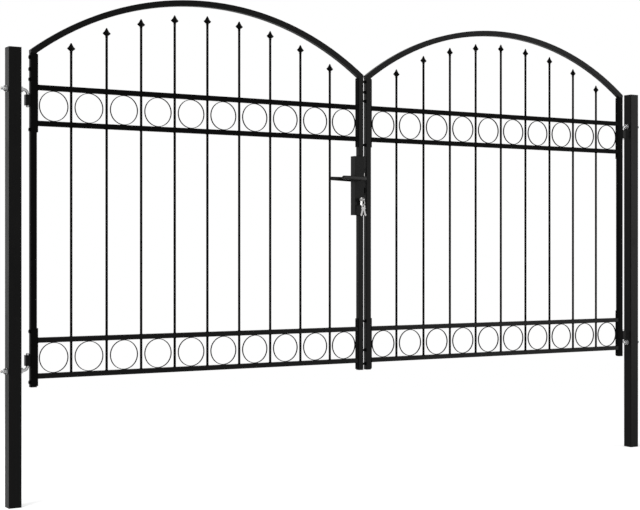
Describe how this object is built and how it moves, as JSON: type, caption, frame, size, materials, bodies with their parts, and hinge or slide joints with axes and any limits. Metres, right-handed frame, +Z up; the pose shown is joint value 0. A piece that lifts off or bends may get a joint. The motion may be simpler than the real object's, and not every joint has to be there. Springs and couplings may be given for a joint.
{
  "type": "arched double gate",
  "caption": "Arched double swing gate of welded square tube with round bars, spear tips and ring bands, hung on hook bolts between two square posts, with a lever lock.",
  "frame": {"origin": "level with the posts' feet, midway between the two posts, in the middle of the leaves' thickness", "axes": "+X along the gate towards the right post, +Y to the back, +Z up; the front faces -Y"},
  "size_m": [3.269, 0.116, 1.999],
  "materials": {
    "black_paint": "satin powder coat",
    "lever_paint": "satin lacquer",
    "black_plastic": "matt",
    "zinc": "bright zinc plate",
    "lock_steel": "satin",
    "nickel": "nickel plate"
  },
  "bodies": {
    "posts": {"left_post": "black_paint", "right_post": "black_paint", "post_caps": "black_plastic", "left_hook_bolts": "zinc", "right_hook_bolts": "zinc", "hook_nuts": "zinc", "hook_washers": "zinc"},
    "left_leaf": {"left_hinge_stile": "black_paint", "left_lock_stile": "black_paint", "left_arch": "black_paint", "left_upper_top_rail": "black_paint", "left_upper_bottom_rail": "black_paint", "left_lower_top_rail": "black_paint", "left_lower_bottom_rail": "black_paint", "left_bars": "black_paint", "left_spear_tips": "black_paint", "left_upper_rings": "black_paint", "left_lower_rings": "black_paint", "left_upper_side_plates": "black_paint", "left_lower_side_plates": "black_paint", "left_panel_bolts": "black_paint", "left_foot_plugs": "black_plastic", "left_hinge_lugs": "black_paint", "lock_case": "black_paint", "lock_body": "lock_steel", "lock_faceplate": "lock_steel", "faceplate_screws": "lock_steel", "cylinder_screw": "lock_steel", "lock_cylinder": "nickel", "latch_spring": "lock_steel"},
    "right_leaf": {"right_hinge_stile": "black_paint", "right_lock_stile": "black_paint", "right_arch": "black_paint", "right_upper_top_rail": "black_paint", "right_upper_bottom_rail": "black_paint", "right_lower_top_rail": "black_paint", "right_lower_bottom_rail": "black_paint", "right_bars": "black_paint", "right_spear_tips": "black_paint", "right_upper_rings": "black_paint", "right_lower_rings": "black_paint", "right_upper_side_plates": "black_paint", "right_lower_side_plates": "black_paint", "right_panel_bolts": "black_paint", "right_foot_plugs": "black_plastic", "right_hinge_lugs": "black_paint", "strike_plate": "black_paint", "strike_screws": "lock_steel"},
    "levers": {"front_lever": "lever_paint", "back_lever": "lever_paint", "lever_spindle": "lock_steel", "lever_follower": "lock_steel"},
    "latch": {"latch_bolt": "lock_steel"},
    "dead_bolt": {"dead_bolt": "lock_steel"},
    "key": {"cylinder_plug": "nickel", "door_key": "nickel"},
    "key_bunch": {"key_ring": "nickel", "spare_keys": "nickel"}
  },
  "joints": [
    {"name": "left_leaf_swing", "type": "hinge", "parent": "posts", "child": "left_leaf", "pos_m": [-1.529, 0, 0], "axis": [0, 0, 1], "range_deg": [-105, 105]},
    {"name": "right_leaf_swing", "type": "hinge", "parent": "posts", "child": "right_leaf", "pos_m": [1.529, 0, 0], "axis": [0, 0, -1], "range_deg": [-105, 105]},
    {"name": "lever_turn", "type": "hinge", "parent": "left_leaf", "child": "levers", "pos_m": [-0.03, 0, 1.29], "axis": [0, -1, 0], "range_deg": [0, 38], "stiffness_Nm_per_rad": 1.5, "springref_deg": -28.65},
    {"name": "latch_slide", "type": "slide", "parent": "left_leaf", "child": "latch", "axis": [-1, 0, 0], "range_m": [0, 0.011], "deforming": ["latch_spring"]},
    {"name": "key_turn", "type": "hinge", "parent": "left_leaf", "child": "key", "pos_m": [-0.03, 0, 1.198], "axis": [0, 1, 0], "range_deg": [0, 720]},
    {"name": "dead_bolt_slide", "type": "slide", "parent": "left_leaf", "child": "dead_bolt", "axis": [1, 0, 0], "range_m": [0, 0.025]},
    {"name": "key_bunch_swing", "type": "hinge", "parent": "key", "child": "key_bunch", "pos_m": [-0.03, -0.045, 1.198], "axis": [-1, 0, 0], "range_deg": [-8, 80]}
  ],
  "couplings": [
    {"joint": "latch_slide", "follows": "lever_turn", "m_per_rad": 0.016585},
    {"joint": "dead_bolt_slide", "follows": "key_turn", "m_per_rad": 0.001989}
  ]
}
